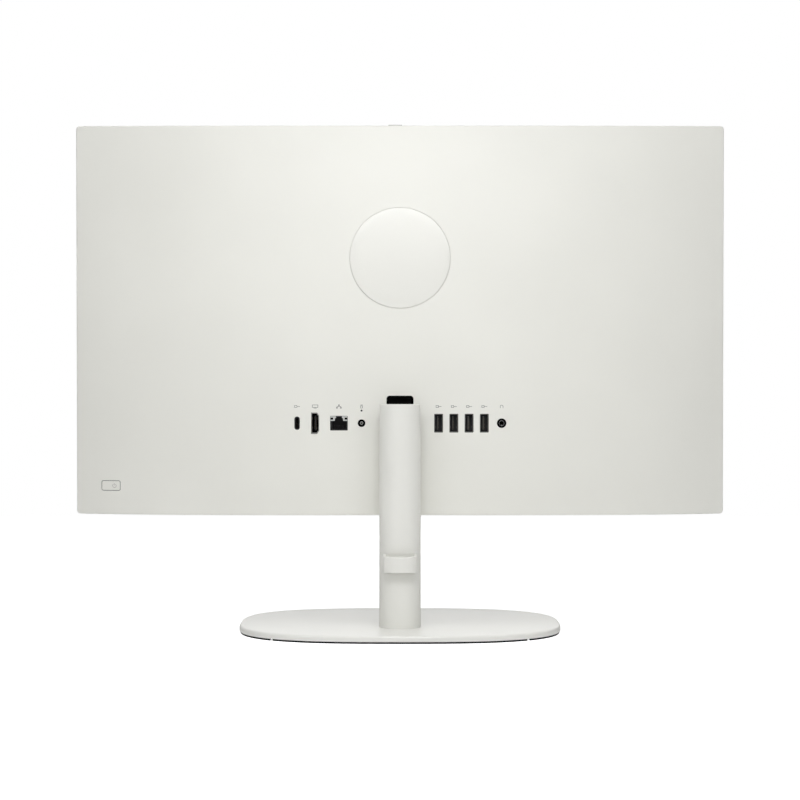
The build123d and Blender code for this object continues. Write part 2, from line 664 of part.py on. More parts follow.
with BuildPart() as button_board:
    brick((BUTTON_X - 13, BUTTON_X + 13), (FRAME_Y[1], -2.6), (BUTTON_Z - 8, BUTTON_Z + 8))
    brick((BUTTON_X - 3, BUTTON_X + 3), (-2.6, -0.4), (BUTTON_Z - 3, BUTTON_Z + 3))
    rod(BUTTON_X, (-0.4, 0.6), BUTTON_Z, 1.6)
button_board.part.label = "button_board"
export_step(button_board.part, "parts/button_board.step")

# ---------------------------------------------------------------- front and screen

with BuildPart() as front_bezel:
    with BuildSketch(facing(FRONT_Y, z=HEAD_MIDDLE)):
        RectangleRounded(HEAD_WIDTH, HEAD_HEIGHT, CORNER_RADIUS)
    extrude(amount=-(BEZEL_BACK_Y - FRONT_Y))
    fillet(front_bezel.edges().group_by(Axis.Y)[0], 0.8)
    brick(
        (-HEAD_WIDTH / 2 + BEZEL_WALL, HEAD_WIDTH / 2 - BEZEL_WALL),
        (FRONT_Y + BEZEL_WALL, 0),
        (HEAD_BOTTOM + BEZEL_WALL, HEAD_TOP - BEZEL_WALL),
        Mode.SUBTRACT,
    )
    brick((-WINDOW_HALF_WIDTH, WINDOW_HALF_WIDTH), (FRONT_Y - 1, 0), WINDOW_Z, Mode.SUBTRACT)
    rod(0, (FRONT_Y - 1, 0), CAMERA_Z, 1.5, Mode.SUBTRACT)
    for mic_x in (-12, 12):
        rod(mic_x, (FRONT_Y - 1, 0), CAMERA_Z, 0.5, Mode.SUBTRACT)
    brick(SHUTTER_SLOT_X, (-10.3, -6.6), (HEAD_TOP - 6, HEAD_TOP + 1), Mode.SUBTRACT)
front_bezel.part.label = "front_bezel"
export_step(front_bezel.part, "parts/front_bezel.step")

with BuildPart() as lcd_panel:
    brick((-PANEL_HALF_WIDTH, PANEL_HALF_WIDTH), GLASS_Y, PANEL_Z)
lcd_panel.part.label = "lcd_panel"
export_step(lcd_panel.part, "parts/lcd_panel.step")

with BuildPart() as backlight_module:
    brick((-PANEL_HALF_WIDTH, PANEL_HALF_WIDTH), BACKLIGHT_Y, PANEL_Z)
    brick((-262, 262), (-6.0, 0), (119, 123), Mode.SUBTRACT)
    for groove_z in (200, 330):
        brick((-240, 240), (-5.8, 0), (groove_z, groove_z + 8), Mode.SUBTRACT)
backlight_module.part.label = "backlight_module"
export_step(backlight_module.part, "parts/backlight_module.step")

with BuildPart() as mid_frame:
    brick((-262, 262), (FRAME_Y[0], -2.4), (104, 411))
    brick((-261, 261), (FRAME_Y[1], 0), (105, 410), Mode.SUBTRACT)
    for side in (-1, 1):
        with Locations((side * 182, -4, 108)):
            Box(96, 8, 20, mode=Mode.SUBTRACT)
        for hole_z in (330, 370):
            with Locations((side * 190, -5, hole_z)):
                Box(80, 4, 22, mode=Mode.SUBTRACT)
    for hole_x in (-80, 80):
        with Locations((hole_x, -5, 362)):
            Box(90, 4, 40, mode=Mode.SUBTRACT)
    for screw_x, screw_z in BRACKET_SCREWS:
        rod(screw_x, (-7, 0), screw_z, 2.0, Mode.SUBTRACT)
mid_frame.part.label = "mid_frame"
export_step(mid_frame.part, "parts/mid_frame.step")

# ---------------------------------------------------------------- camera

with BuildPart() as camera_module:
    brick((-30, 30), (-10.6, -9.8), (CAMERA_Z - 1.6, CAMERA_Z + 1.4))
    brick((-3, 3), (-11.8, -10.6), (CAMERA_Z - 1.6, CAMERA_Z + 1.4))
    rod(0, (-12.5, -11.8), CAMERA_Z, 1.4)
camera_module.part.label = "camera_module"
export_step(camera_module.part, "parts/camera_module.step")

with BuildPart() as shutter_slider:
    brick((3.0, 12.0), (-13.3, -12.8), (CAMERA_Z - 1.6, HEAD_TOP - 1.8))
    brick((-4.0, 12.0), (-13.3, -6.9), (HEAD_TOP - 2.6, HEAD_TOP - 1.8))
    brick(SHUTTER_TAB_X, (-10.0, -6.9), (HEAD_TOP - 1.8, HEAD_TOP + 1.9))
    fillet(shutter_slider.edges().group_by(Axis.Z)[-1], 0.6)
shutter_slider.part.label = "shutter_slider"
export_step(shutter_slider.part, "parts/shutter_slider.step")

# ---------------------------------------------------------------- mainboard and what is on it

with BuildPart() as mainboard:
    brick((-118, 118), BOARD_Y, (150, 300))
    brick((-24, 24), (0, 5), (140, 217), Mode.SUBTRACT)
    for stand_x, stand_z in STANDOFFS:
        rod(stand_x, (0, 5), stand_z, 1.6, Mode.SUBTRACT)
mainboard.part.label = "mainboard"
export_step(mainboard.part, "parts/mainboard.step")

with BuildPart() as board_standoffs:
    for stand_x, stand_z in STANDOFFS:
        rod(stand_x, (FRAME_Y[1], BOARD_Y[0]), stand_z, 2.6)
        rod(stand_x, (-2, 3), stand_z, 1.5, Mode.SUBTRACT)
board_standoffs.part.label = "board_standoffs"
export_step(board_standoffs.part, "parts/board_standoffs.step")

with BuildPart() as board_screws:
    for stand_x, stand_z in STANDOFFS:
        rod(stand_x, (-1.5, BOARD_Y[1]), stand_z, 1.5)
        rod(stand_x, (BOARD_Y[1], 5.2), stand_z, 2.9)
        rod(stand_x, (4.4, 6), stand_z, 1.1, Mode.SUBTRACT)
board_screws.part.label = "board_screws"
export_step(board_screws.part, "parts/board_screws.step")

with BuildPart() as processor:
    brick((PROCESSOR_X - 22, PROCESSOR_X + 22), (BOARD_Y[1], 4.2), (PROCESSOR_Z - 12, PROCESSOR_Z + 12))
    brick((PROCESSOR_X - 14, PROCESSOR_X + 14), (4.2, 4.8), (PROCESSOR_Z - 7, PROCESSOR_Z + 7))
processor.part.label = "processor"
export_step(processor.part, "parts/processor.step")

with BuildPart() as cold_plate:
    brick((PROCESSOR_X - 26, PROCESSOR_X + 26), (4.8, 6.5), (PROCESSOR_Z - 20, PROCESSOR_Z + 20))
    for strap_z in (PROCESSOR_Z - 22, PROCESSOR_Z + 22):
        brick((PROCESSOR_X - 30, PROCESSOR_X + 30), (4.8, 6.5), (strap_z - 4, strap_z + 4))
        for leg_x in (PROCESSOR_X - 30, PROCESSOR_X + 30):
            rod(leg_x, (4.8, 6.5), strap_z, 4)
            rod(leg_x, (BOARD_Y[1], 4.8), strap_z, 2)
cold_plate.part.label = "cold_plate"
export_step(cold_plate.part, "parts/cold_plate.step")

with BuildPart() as heat_pipe:
    with BuildSketch(facing(6.5)):
        with BuildLine():
            FilletPolyline((30, PROCESSOR_Z), (96, PROCESSOR_Z), (126, 284), (186, 284), radius=16)
        trace(line_width=8)
    extrude(amount=-2.4)
heat_pipe.part.label = "heat_pipe"
export_step(heat_pipe.part, "parts/heat_pipe.step")

with BuildPart() as fin_stack:
    brick((132, 200), (-3.4, -2.8), (275.5, 292))
    brick((132, 200), (5.9, 6.5), (275.5, 292))
    with Locations((FAN_X, 1.55, 283.75)):
        with GridLocations(2.5, 0, 28, 1):
            Box(0.5, 9.9, 16.5)
fin_stack.part.label = "fin_stack"
export_step(fin_stack.part, "parts/fin_stack.step")

with BuildPart() as memory_sockets:
    for socket_z in SOCKET_ROWS:
        brick((-108, -36), (BOARD_Y[1], 8.6), (socket_z - 5, socket_z))
memory_sockets.part.label = "memory_sockets"
export_step(memory_sockets.part, "parts/memory_sockets.step")

with BuildPart() as memory_modules:
    for socket_z in SOCKET_ROWS:
        brick((-106, -38), (5.6, 6.6), (socket_z, socket_z + 25))
        for chip_x in (-96, -80, -64, -48):
            brick((chip_x - 5, chip_x + 5), (6.6, 7.6), (socket_z + 6, socket_z + 19))
memory_modules.part.label = "memory_modules"
export_step(memory_modules.part, "parts/memory_modules.step")

with BuildPart() as storage_drive:
    brick((-112, -32), (5.4, 6.2), (192, 214))
    brick((-96, -78), (6.2, 7.4), (195, 211))
    brick((-70, -54), (6.2, 7.4), (196, 210))
    brick((-34, -28), (BOARD_Y[1], 5.4), (191, 215))
storage_drive.part.label = "storage_drive"
export_step(storage_drive.part, "parts/storage_drive.step")

with BuildPart() as wireless_card:
    brick((82, 104), (5.2, 6.0), (186, 216))
    brick((84, 102), (6.0, 7.2), (196, 213))
    brick((81, 105), (BOARD_Y[1], 5.2), (183, 189))
wireless_card.part.label = "wireless_card"
export_step(wireless_card.part, "parts/wireless_card.step")

with BuildPart() as clock_battery:
    rod(-8, (BOARD_Y[1], 7.0), 240, 10)
    fillet(clock_battery.edges().group_by(Axis.Y)[-1], 0.5)
clock_battery.part.label = "clock_battery"
export_step(clock_battery.part, "parts/clock_battery.step")

with BuildPart() as board_capacitors:
    for column in range(6):
        rod(24 + column * 9, (BOARD_Y[1], 9.5), 288, 3.1)
    for row in range(3):
        rod(10, (BOARD_Y[1], 9.5), 262 + row * 8, 3.1)
board_capacitors.part.label = "board_capacitors"
export_step(board_capacitors.part, "parts/board_capacitors.step")

# ---------------------------------------------------------------- fan

with BuildPart() as fan_housing:
    brick(
        (FAN_X - FAN_HALF[0], FAN_X + FAN_HALF[0]),
        (FRAME_Y[1], 6.2),
        (FAN_Z - FAN_HALF[1], FAN_Z + FAN_HALF[1]),
    )
    rod(FAN_X, (-3.4, 7), FAN_Z, ROTOR_RADIUS + 5, Mode.SUBTRACT)
    brick((FAN_X - 34, FAN_X + 34), (-3.4, 7), (FAN_Z, FAN_Z + 50), Mode.SUBTRACT)
    rod(FAN_X, (-3.4, -0.6), FAN_Z, 4.5)
    rod(FAN_X, (-3.4, 0), FAN_Z, 1.55, Mode.SUBTRACT)
fan_housing.part.label = "fan_housing"
export_step(fan_housing.part, "parts/fan_housing.step")

with BuildPart() as fan_cover:
    brick(
        (FAN_X - FAN_HALF[0], FAN_X + FAN_HALF[0]),
        (6.2, 7.0),
        (FAN_Z - FAN_HALF[1], FAN_Z + FAN_HALF[1]),
    )
    rod(FAN_X, (6, 8), FAN_Z, 21, Mode.SUBTRACT)
fan_cover.part.label = "fan_cover"
export_step(fan_cover.part, "parts/fan_cover.step")

with BuildPart() as fan_rotor:
    rod(FAN_X, (-2.2, 5.2), FAN_Z, HUB_RADIUS)
    rod(FAN_X, (-4, 4.2), FAN_Z, 11.5, Mode.SUBTRACT)
    rod(FAN_X, (-3.2, 4.2), FAN_Z, 1.5)
    with BuildSketch(facing(-2.2, x=FAN_X, z=FAN_Z)):
        with PolarLocations((ROTOR_RADIUS + HUB_RADIUS - 0.4) / 2, 29):
            Rectangle(ROTOR_RADIUS - HUB_RADIUS + 0.4, 0.8)
    extrude(amount=-7.0)
    with BuildSketch(facing(1.0, x=FAN_X, z=FAN_Z)):
        Circle(24)
        Circle(HUB_RADIUS - 0.5, mode=Mode.SUBTRACT)
    extrude(amount=-0.6)
fan_rotor.part.label = "fan_rotor"
export_step(fan_rotor.part, "parts/fan_rotor.step")

# ---------------------------------------------------------------- sound, aerials, screen lead

for side_name, speaker_x in (("left", SPEAKER_X), ("right", mirrored(SPEAKER_X))):
    with BuildPart() as speaker:
        brick(speaker_x, (-12.8, 1.2), SPEAKER_Z)
        fillet(speaker.edges().filter_by(Axis.Y), 2)
        cone_x = (speaker_x[0] + speaker_x[1]) / 2
        with BuildSketch(facing(-12.8, x=cone_x, z=(SPEAKER_Z[0] + SPEAKER_Z[1]) / 2)):
            SlotOverall(34, 10)
        extrude(amount=-0.8, mode=Mode.SUBTRACT)
    speaker.part.label = "speaker_" + side_name
    export_step(speaker.part, "parts/speaker_" + side_name + ".step")

with BuildPart() as wireless_aerials:
    for aerial_x in (-125, 125):
        brick((aerial_x - 22, aerial_x + 22), (FRAME_Y[1], -3.4), (396, 406))
wireless_aerials.part.label = "wireless_aerials"
export_step(wireless_aerials.part, "parts/wireless_aerials.step")

with BuildPart() as screen_lead:
    brick((-74, -50), (BOARD_Y[1], 6.0), (289, 295))
    brick((-72, -52), (6.0, 6.5), (289, 304))
    brick((-72, -52), (-3.6, 6.5), (304, 304.5))
    brick((-72, -52), (-3.6, -3.1), (304.5, 336))
    brick((-74, -50), (FRAME_Y[1], -3.1), (330, 336))
screen_lead.part.label = "screen_lead"
export_step(screen_lead.part, "parts/screen_lead.step")
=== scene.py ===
import json
import math

import bmesh
import bpy
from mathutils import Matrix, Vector


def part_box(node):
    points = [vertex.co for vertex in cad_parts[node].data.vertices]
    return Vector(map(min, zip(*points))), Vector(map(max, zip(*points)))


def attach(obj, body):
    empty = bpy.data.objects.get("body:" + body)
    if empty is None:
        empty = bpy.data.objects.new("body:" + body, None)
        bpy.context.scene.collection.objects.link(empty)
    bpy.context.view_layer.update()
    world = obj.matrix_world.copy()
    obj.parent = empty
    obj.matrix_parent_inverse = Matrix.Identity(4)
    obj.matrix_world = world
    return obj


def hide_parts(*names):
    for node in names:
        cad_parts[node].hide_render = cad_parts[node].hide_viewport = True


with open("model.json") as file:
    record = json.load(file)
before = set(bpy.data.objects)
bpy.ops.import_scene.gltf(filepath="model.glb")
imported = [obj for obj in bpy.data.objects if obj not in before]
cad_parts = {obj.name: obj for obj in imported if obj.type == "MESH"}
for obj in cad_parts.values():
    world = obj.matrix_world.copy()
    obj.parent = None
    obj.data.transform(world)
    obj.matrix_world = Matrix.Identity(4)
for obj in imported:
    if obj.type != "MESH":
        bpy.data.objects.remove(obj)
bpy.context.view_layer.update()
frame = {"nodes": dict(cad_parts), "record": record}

MM = 0.001
nodes = frame["nodes"]

# ---------------------------------------------------------------- places taken from the frame

cover_low, cover_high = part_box("rear_cover")
HEAD_WIDTH = cover_high.x - cover_low.x
HEAD_HEIGHT = cover_high.z - cover_low.z
mounts = {mount["name"]: Vector(mount["pos_m"]) for mount in frame["record"]["mounts"]}

# The rear cover's crown, as the CAD has it
CROWN_BOTTOM = 20.0 * MM
CROWN_TOP = 4.0 * MM
CROWN_POWER = 4.5

# The connector row
PORT_Z = mounts["usb_c_socket"].z
PORT_FACE_Y = mounts["usb_c_socket"].y
USB_A_SIZE = (6.8 * MM, 15.0 * MM)
USB_C_SIZE = (4.0 * MM, 10.5 * MM)
HDMI_SIZE = (6.2 * MM, 17.2 * MM)
HDMI_BEVEL = (1.55 * MM, 2.4 * MM)
ICON_Z = PORT_Z + 13.8 * MM
BUTTON_FACE = (15.3 * MM, 7.6 * MM)


def row_centres(node, gap):
    """Centres along X of a node's solids that stand further apart than gap, from +X to -X."""
    spans = []
    for x in sorted(vertex.co.x for vertex in nodes[node].data.vertices):
        if not spans or x - spans[-1][1] > gap:
            spans.append([x, x])
        spans[-1][1] = x
    return [(low + high) / 2 for low, high in reversed(spans)]


USB_A_X = row_centres("usb_a_ports", 4 * MM)

# ---------------------------------------------------------------- camera, light and floor

CAMERA_DISTANCE = 1.80
CAMERA_HEIGHT = 0.2235
CAMERA_DROP = math.radians(1.02)
LENS_MM = 96.98
SKY_STRENGTH = 0.583
FLOOR_REACH = 1.3
FLOOR_GLOW = 0.75


def make_camera():
    """Camera straight behind the object, a little above the neck, looking slightly down."""
    data = bpy.data.cameras.new("camera")
    data.lens = LENS_MM
    data.sensor_width = 36.0
    camera = bpy.data.objects.new("camera", data)
    camera.location = (0, CAMERA_DISTANCE, CAMERA_HEIGHT)
    camera.rotation_euler = (math.radians(90) - CAMERA_DROP, 0, math.radians(180))
    bpy.context.scene.collection.objects.link(camera)
    bpy.context.scene.camera = camera


def make_world():
    """White to the eye, and for the light it gives brightest overhead and dark at the floor's edge."""
    world = bpy.data.worlds.new("studio")
    bpy.context.scene.world = world
    world.use_nodes = True
    tree = world.node_tree
    background = tree.nodes["Background"]
    background.inputs["Color"].default_value = (1, 1, 1, 1)
    coords = tree.nodes.new("ShaderNodeTexCoord")
    split = tree.nodes.new("ShaderNodeSeparateXYZ")
    tree.links.new(coords.outputs["Generated"], split.inputs[0])
    height = tree.nodes.new("ShaderNodeMath")
    height.operation = "MULTIPLY"
    height.use_clamp = True
    height.inputs[1].default_value = SKY_STRENGTH
    tree.links.new(split.outputs["Z"], height.inputs[0])
    seen = tree.nodes.new("ShaderNodeLightPath")
    choose = tree.nodes.new("ShaderNodeMix")
    choose.data_type = "FLOAT"
    tree.links.new(seen.outputs["Is Camera Ray"], choose.inputs["Factor"])
    tree.links.new(height.outputs[0], choose.inputs["A"])
    choose.inputs["B"].default_value = 1.0
    tree.links.new(choose.outputs["Result"], background.inputs["Strength"])


def area_light(name, place, target, width, height, power):
    data = bpy.data.lights.new(name, "AREA")
    data.shape = "RECTANGLE"
    data.size = width
    data.size_y = height
    data.energy = power
    light = bpy.data.objects.new(name, data)
    light.location = place
    light.rotation_euler = (Vector(target) - Vector(place)).to_track_quat("-Z", "Y").to_euler()
    light.visible_camera = False
    bpy.context.scene.collection.objects.link(light)


def make_lights():
    """One soft box close behind the cover, one at each side, one overhead, one in front, one at the base."""
    area_light("key", (0, 0.55, 0.55), (0, 0, 0.36), 0.30, 0.20, 1.38)
    area_light("side_left", (1.3, 1.6, 0.9), (0, 0, 0.25), 0.90, 0.90, 4.62)
    area_light("side_right", (-1.3, 1.6, 0.9), (0, 0, 0.25), 0.90, 0.90, 4.78)
    area_light("overhead", (0, 0.25, 1.6), (0, 0.1, 0), 1.20, 0.80, 3.80)
    area_light("front", (0, -1.0, 0.35), (0, 0.05, 0), 1.00, 0.40, 1.99)
    area_light("base_key", (0, 0.45, 0.30), (0, 0.07, 0), 0.20, 0.20, 0.10)


def make_floor():
    """Plain white paper under the object, washed out to the eye as in a bright studio."""
    mesh = bpy.data.meshes.new("floor")
    reach = FLOOR_REACH
    corners = [(-reach, -reach, 0), (reach, -reach, 0), (reach, reach, 0), (-reach, reach, 0)]
    mesh.from_pydata(corners, [], [(0, 1, 2, 3)])
    floor = bpy.data.objects.new("floor", mesh)
    bpy.context.scene.collection.objects.link(floor)
    paint = bpy.data.materials.new("floor_paper")
    paint.use_nodes = True
    tree = paint.node_tree
    shader = tree.nodes["Principled BSDF"]
    shader.inputs["Base Color"].default_value = (0.90, 0.90, 0.90, 1)
    shader.inputs["Roughness"].default_value = 0.9
    shader.inputs["Specular IOR Level"].default_value = 0.1
    shader.inputs["Emission Color"].default_value = (1, 1, 1, 1)
    seen = tree.nodes.new("ShaderNodeLightPath")
    glow = tree.nodes.new("ShaderNodeMath")
    glow.operation = "MULTIPLY"
    glow.inputs[1].default_value = FLOOR_GLOW
    tree.links.new(seen.outputs["Is Camera Ray"], glow.inputs[0])
    tree.links.new(glow.outputs[0], shader.inputs["Emission Strength"])
    mesh.materials.append(paint)


# ---------------------------------------------------------------- materials


class Paint:
    """One procedural material and the few node patterns that it is made from."""

    def __init__(self, name, roughness=0.5, metallic=0.0, **sockets):
        self.material = bpy.data.materials.new(name)
        self.material.use_nodes = True
        self.tree = self.material.node_tree
        self.shader = self.tree.nodes["Principled BSDF"]
        self.shader.inputs["Roughness"].default_value = roughness
        self.shader.inputs["Metallic"].default_value = metallic
        for socket, value in sockets.items():
            self.shader.inputs[socket.replace("_", " ")].default_value = value
        self.coords = self.tree.nodes.new("ShaderNodeTexCoord")
        self.last_bump = None

    def noise(self, scale, detail=3.0, stretch=(1, 1, 1)):
        """Noise whose scale is in features per metre, drawn out along the axes by stretch."""
        mapping = self.tree.nodes.new("ShaderNodeMapping")
        mapping.inputs["Scale"].default_value = stretch
        noise = self.tree.nodes.new("ShaderNodeTexNoise")
        noise.inputs["Scale"].default_value = scale
        noise.inputs["Detail"].default_value = detail
        self.tree.links.new(self.coords.outputs["Object"], mapping.inputs["Vector"])
        self.tree.links.new(mapping.outputs["Vector"], noise.inputs["Vector"])
        return noise.outputs["Fac"]

    def cells(self, scale):
        """Small cells, as on a board's tracks or a woven film, in cells per metre."""
        cells = self.tree.nodes.new("ShaderNodeTexVoronoi")
        cells.distance = "CHEBYCHEV"
        cells.feature = "F1"
        cells.inputs["Scale"].default_value = scale
        self.tree.links.new(self.coords.outputs["Object"], cells.inputs["Vector"])
        return cells.outputs["Distance"]

    def colour(self, source, dark, light, low=0.35, high=0.65):
        """Base colour that runs from dark to light with the source."""
        ramp = self.tree.nodes.new("ShaderNodeValToRGB")
        ramp.color_ramp.elements[0].position = low
        ramp.color_ramp.elements[1].position = high
        ramp.color_ramp.elements[0].color = (*dark, 1)
        ramp.color_ramp.elements[1].color = (*light, 1)
        self.tree.links.new(source, ramp.inputs["Fac"])
        self.tree.links.new(ramp.outputs["Color"], self.shader.inputs["Base Color"])

    def gloss(self, source, low, high):
        """Roughness that runs from low to high with the source."""
        span = self.tree.nodes.new("ShaderNodeMapRange")
        span.inputs["From Min"].default_value = 0.3
        span.inputs["From Max"].default_value = 0.7
        span.inputs["To Min"].default_value = low
        span.inputs["To Max"].default_value = high
        self.tree.links.new(source, span.inputs["Value"])
        self.tree.links.new(span.outputs["Result"], self.shader.inputs["Roughness"])

    def relief(self, source, depth, strength=1.0):
        """Bump of the given depth in metres, on top of any earlier one."""
        bump = self.tree.nodes.new("ShaderNodeBump")
        bump.inputs["Distance"].default_value = depth
        bump.inputs["Strength"].default_value = strength
        self.tree.links.new(source, bump.inputs["Height"])
        if self.last_bump:
            self.tree.links.new(self.last_bump, bump.inputs["Normal"])
        self.last_bump = bump.outputs["Normal"]
        self.tree.links.new(self.last_bump, self.shader.inputs["Normal"])


def scaled(colour, factor):
    return tuple(min(1.0, channel * factor) for channel in colour)


def moulded_plastic(name, colour, roughness, grain_depth=0.03 * MM, grain_scale=1400, spread=0.03, **sockets):
    """Injection-moulded plastic with an even spark-eroded grain; its roughness varies by the spread."""
    paint = Paint(name, roughness, **sockets)
    paint.colour(paint.noise(9, 2), scaled(colour, 0.985), scaled(colour, 1.01))
    if spread:
        paint.gloss(paint.noise(35, 3), roughness - spread, roughness + spread)
    paint.relief(paint.noise(grain_scale, 2), grain_depth, 0.5)
    return paint.material


def brushed_metal(name, colour, roughness, stretch, depth=0.01 * MM):
    """Metal with fine lines drawn along one axis."""
    paint = Paint(name, roughness, 1.0)
    lines = paint.noise(900, 4, stretch)
    paint.colour(lines, scaled(colour, 0.85), scaled(colour, 1.1))
    paint.gloss(lines, roughness - 0.08, roughness + 0.1)
    paint.relief(lines, depth, 0.4)
    return paint.material


def coated_metal(name, colour, roughness):
    """Powder-coated metal with a slight orange peel."""
    paint = Paint(name, roughness)
    paint.colour(paint.noise(60, 4), scaled(colour, 0.85), scaled(colour, 1.15))
    paint.gloss(paint.noise(200, 3), roughness - 0.05, roughness + 0.08)
    paint.relief(paint.noise(700, 2), 0.04 * MM, 0.5)
    return paint.material


def circuit_board():
    """Green solder mask over a raised pattern of tracks and pads."""
    paint = Paint("solder_mask", 0.35)
    tracks = paint.cells(260)
    paint.colour(tracks, (0.010, 0.060, 0.028), (0.020, 0.115, 0.050), 0.15, 0.5)
    paint.gloss(paint.noise(180, 3), 0.28, 0.42)
    paint.relief(tracks, 0.05 * MM, 0.6)
    paint.relief(paint.noise(2200, 2), 0.01 * MM, 0.4)
    return paint.material


def screen_glass():
    """Matt anti-glare screen: near black, with a very fine sparkle."""
    paint = Paint("anti_glare_screen", 0.25, Specular_IOR_Level=0.45)
    paint.colour(paint.noise(5, 2), (0.0075, 0.0078, 0.0090), (0.0100, 0.0104, 0.0120))
    paint.relief(paint.noise(5200, 1), 0.004 * MM, 0.5)
    return paint.material


def make_materials():
    return {
        "cover_white": moulded_plastic("cover_white", (0.86, 0.858, 0.805), 0.42),
        "neck_white": moulded_plastic("neck_white", (0.86, 0.858, 0.815), 0.42),
        "base_white": moulded_plastic("base_white", (0.86, 0.858, 0.82), 0.40),
        "shutter_grey": moulded_plastic("shutter_grey", (0.55, 0.55, 0.53), 0.45),
        "black_plastic": moulded_plastic("black_plastic", (0.010, 0.010, 0.011), 0.55),
        "foot_rubber": moulded_plastic("foot_rubber", (0.012, 0.012, 0.013), 0.8, 0.06 * MM, 900),
        "backlight": brushed_metal("backlight_tray", (0.7, 0.7, 0.71), 0.4, (1, 1, 12)),
        "steel_plate": coated_metal("coated_steel", (0.012, 0.012, 0.013), 0.6),
        "cast_metal": coated_metal("black_casting", (0.03, 0.03, 0.032), 0.45),
        "bare_steel": brushed_metal("zinc_sheet", (0.60, 0.60, 0.61), 0.38, (1, 1, 14)),
        "fastener_steel": brushed_metal("zinc_fastener", (0.55, 0.55, 0.57), 0.30, (1, 1, 1)),
        "port_metal": brushed_metal("dark_nickel", (0.20, 0.20, 0.205), 0.35, (1, 14, 1)),
        "aluminium": brushed_metal("bare_aluminium", (0.80, 0.80, 0.81), 0.32, (1, 1, 10)),
        "copper": brushed_metal("bare_copper", (0.80, 0.42, 0.26), 0.30, (10, 1, 1)),
        "brass": brushed_metal("turned_brass", (0.80, 0.62, 0.30), 0.30, (1, 8, 1)),
        "battery_steel": brushed_metal("polished_can", (0.75, 0.75, 0.76), 0.22, (1, 1, 1)),
        "circuit_board": circuit_board(),
        "chip": moulded_plastic("chip_package", (0.025, 0.025, 0.027), 0.5),
        "lead_film": moulded_plastic("amber_film", (0.32, 0.14, 0.03), 0.3),
        "light_pipe": moulded_plastic("smoked_lens", (0.06, 0.06, 0.06), 0.2),
        "emblem": moulded_plastic("emblem_satin", (0.84, 0.838, 0.79), 0.27, 0.004 * MM, 900, 0),
        "screen_glass": screen_glass(),
    }


def extra_materials():
    """Finishes of small pieces that share a slot with a larger one, and a near-black painted shade."""
    return {
        # Painted shade: near-black with almost no specular, standing in for the darkness deep in openings and
        # gaps
        "painted_shade_black": moulded_plastic("painted_shade_black", (0.0012, 0.0012, 0.0012), 0.9, Specular_IOR_Level=0.04),
        "tongue_grey": moulded_plastic("tongue_grey", (0.078, 0.074, 0.065), 0.5),
        "rim_grey": moulded_plastic("rim_grey", (0.30, 0.295, 0.28), 0.45),
        "leaf_grey": moulded_plastic("leaf_grey", (0.12, 0.117, 0.108), 0.45),
        "lamp_window": moulded_plastic("lamp_window", (0.62, 0.63, 0.61), 0.25),
        "icon_ink": moulded_plastic("icon_ink", (0.15, 0.15, 0.145), 0.5, 0.005 * MM, 2500),
        "button_ink": moulded_plastic("button_ink", (0.50, 0.50, 0.48), 0.5, 0.005 * MM, 2500),
        "contact_gold": brushed_metal("contact_gold", (0.55, 0.42, 0.20), 0.30, (1, 10, 1)),
        "bright_nickel": brushed_metal("bright_nickel", (0.42, 0.42, 0.41), 0.35, (1, 1, 1)),
        "lens_glass": moulded_plastic("lens_glass", (0.004, 0.004, 0.006), 0.05, 0.001 * MM, 900),
    }


def paint_nodes(paints):
    """Every carried-over CAD node gets its slot's procedural material."""
    slot_of = {part["node"]: part["material_slot"] for part in frame["record"]["subparts"]}
    for name, obj in nodes.items():
        for slot in obj.material_slots:
            slot.material = paints[slot_of[name]]


# ---------------------------------------------------------------- mesh tools

SHARP_ANGLE = math.radians(40)
INK_HEIGHT = 0.03 * MM
INK_FOOT = -0.05 * MM


def cover_y(x, z):
    """Depth of the rear cover's crowned outer face."""
    up = (z - cover_low.z) / HEAD_HEIGHT
    crown = CROWN_BOTTOM - (CROWN_BOTTOM - CROWN_TOP) * up**2
    return crown * (1 - abs(2 * x / HEAD_WIDTH) ** CROWN_POWER)


def on_cover(offset):
    """Depth function that keeps to the cover's face, moved out by offset."""
    return lambda x, z: cover_y(x, z) + offset


def at_depth(y):
    return lambda x, z: y


def rectangle(x, z, width, height, radius, steps=5):
    """Outline of a rounded rectangle, as places in X and Z."""
    points = []
    corners = [(1, 1, 0), (-1, 1, 90), (-1, -1, 180), (1, -1, 270)]
    for side_x, side_z, start in corners:
        centre_x = x + side_x * (width / 2 - radius)
        centre_z = z + side_z * (height / 2 - radius)
        for n in range(steps + 1):
            turn = math.radians(start + 90 * n / steps)
            points.append((centre_x + radius * math.cos(turn), centre_z + radius * math.sin(turn)))
    return points


def circle(x, z, radius, steps=40):
    turns = [2 * math.pi * n / steps for n in range(steps)]
    return [(x + radius * math.cos(turn), z + radius * math.sin(turn)) for turn in turns]


def bevelled(x, z, width, height, bevel):
    """Upright rectangle with its two -X corners cut off."""
    right, left = x + width / 2, x - width / 2
    top, bottom = z + height / 2, z - height / 2
    return [
        (right, bottom),
        (right, top),
        (left + bevel[0], top),
        (left, top - bevel[1]),
        (left, bottom + bevel[1]),
        (left + bevel[0], bottom),
    ]


def layer(bm, outline, depth):
    return [bm.verts.new((x, depth(x, z), z)) for x, z in outline]


def wall(bm, first, second):
    """Side faces between two rings of vertices."""
    for n in range(len(first)):
        after = (n + 1) % len(first)
        bm.faces.new((first[n], first[after], second[after], second[n]))


def add_prism(bm, outline, back, front):
    """Closed solid with the given outline between two depth functions."""
    low = layer(bm, outline, back)
    high = layer(bm, outline, front)
    bm.faces.new(low)
    bm.faces.new(high)
    wall(bm, low, high)


def add_ring(bm, outer, inner, back, front):
    """Closed tube between two outlines with as many points each."""
    rings = [layer(bm, outer, back), layer(bm, outer, front), layer(bm, inner, front), layer(bm, inner, back)]
    for n in range(4):
        wall(bm, rings[n], rings[(n + 1) % 4])


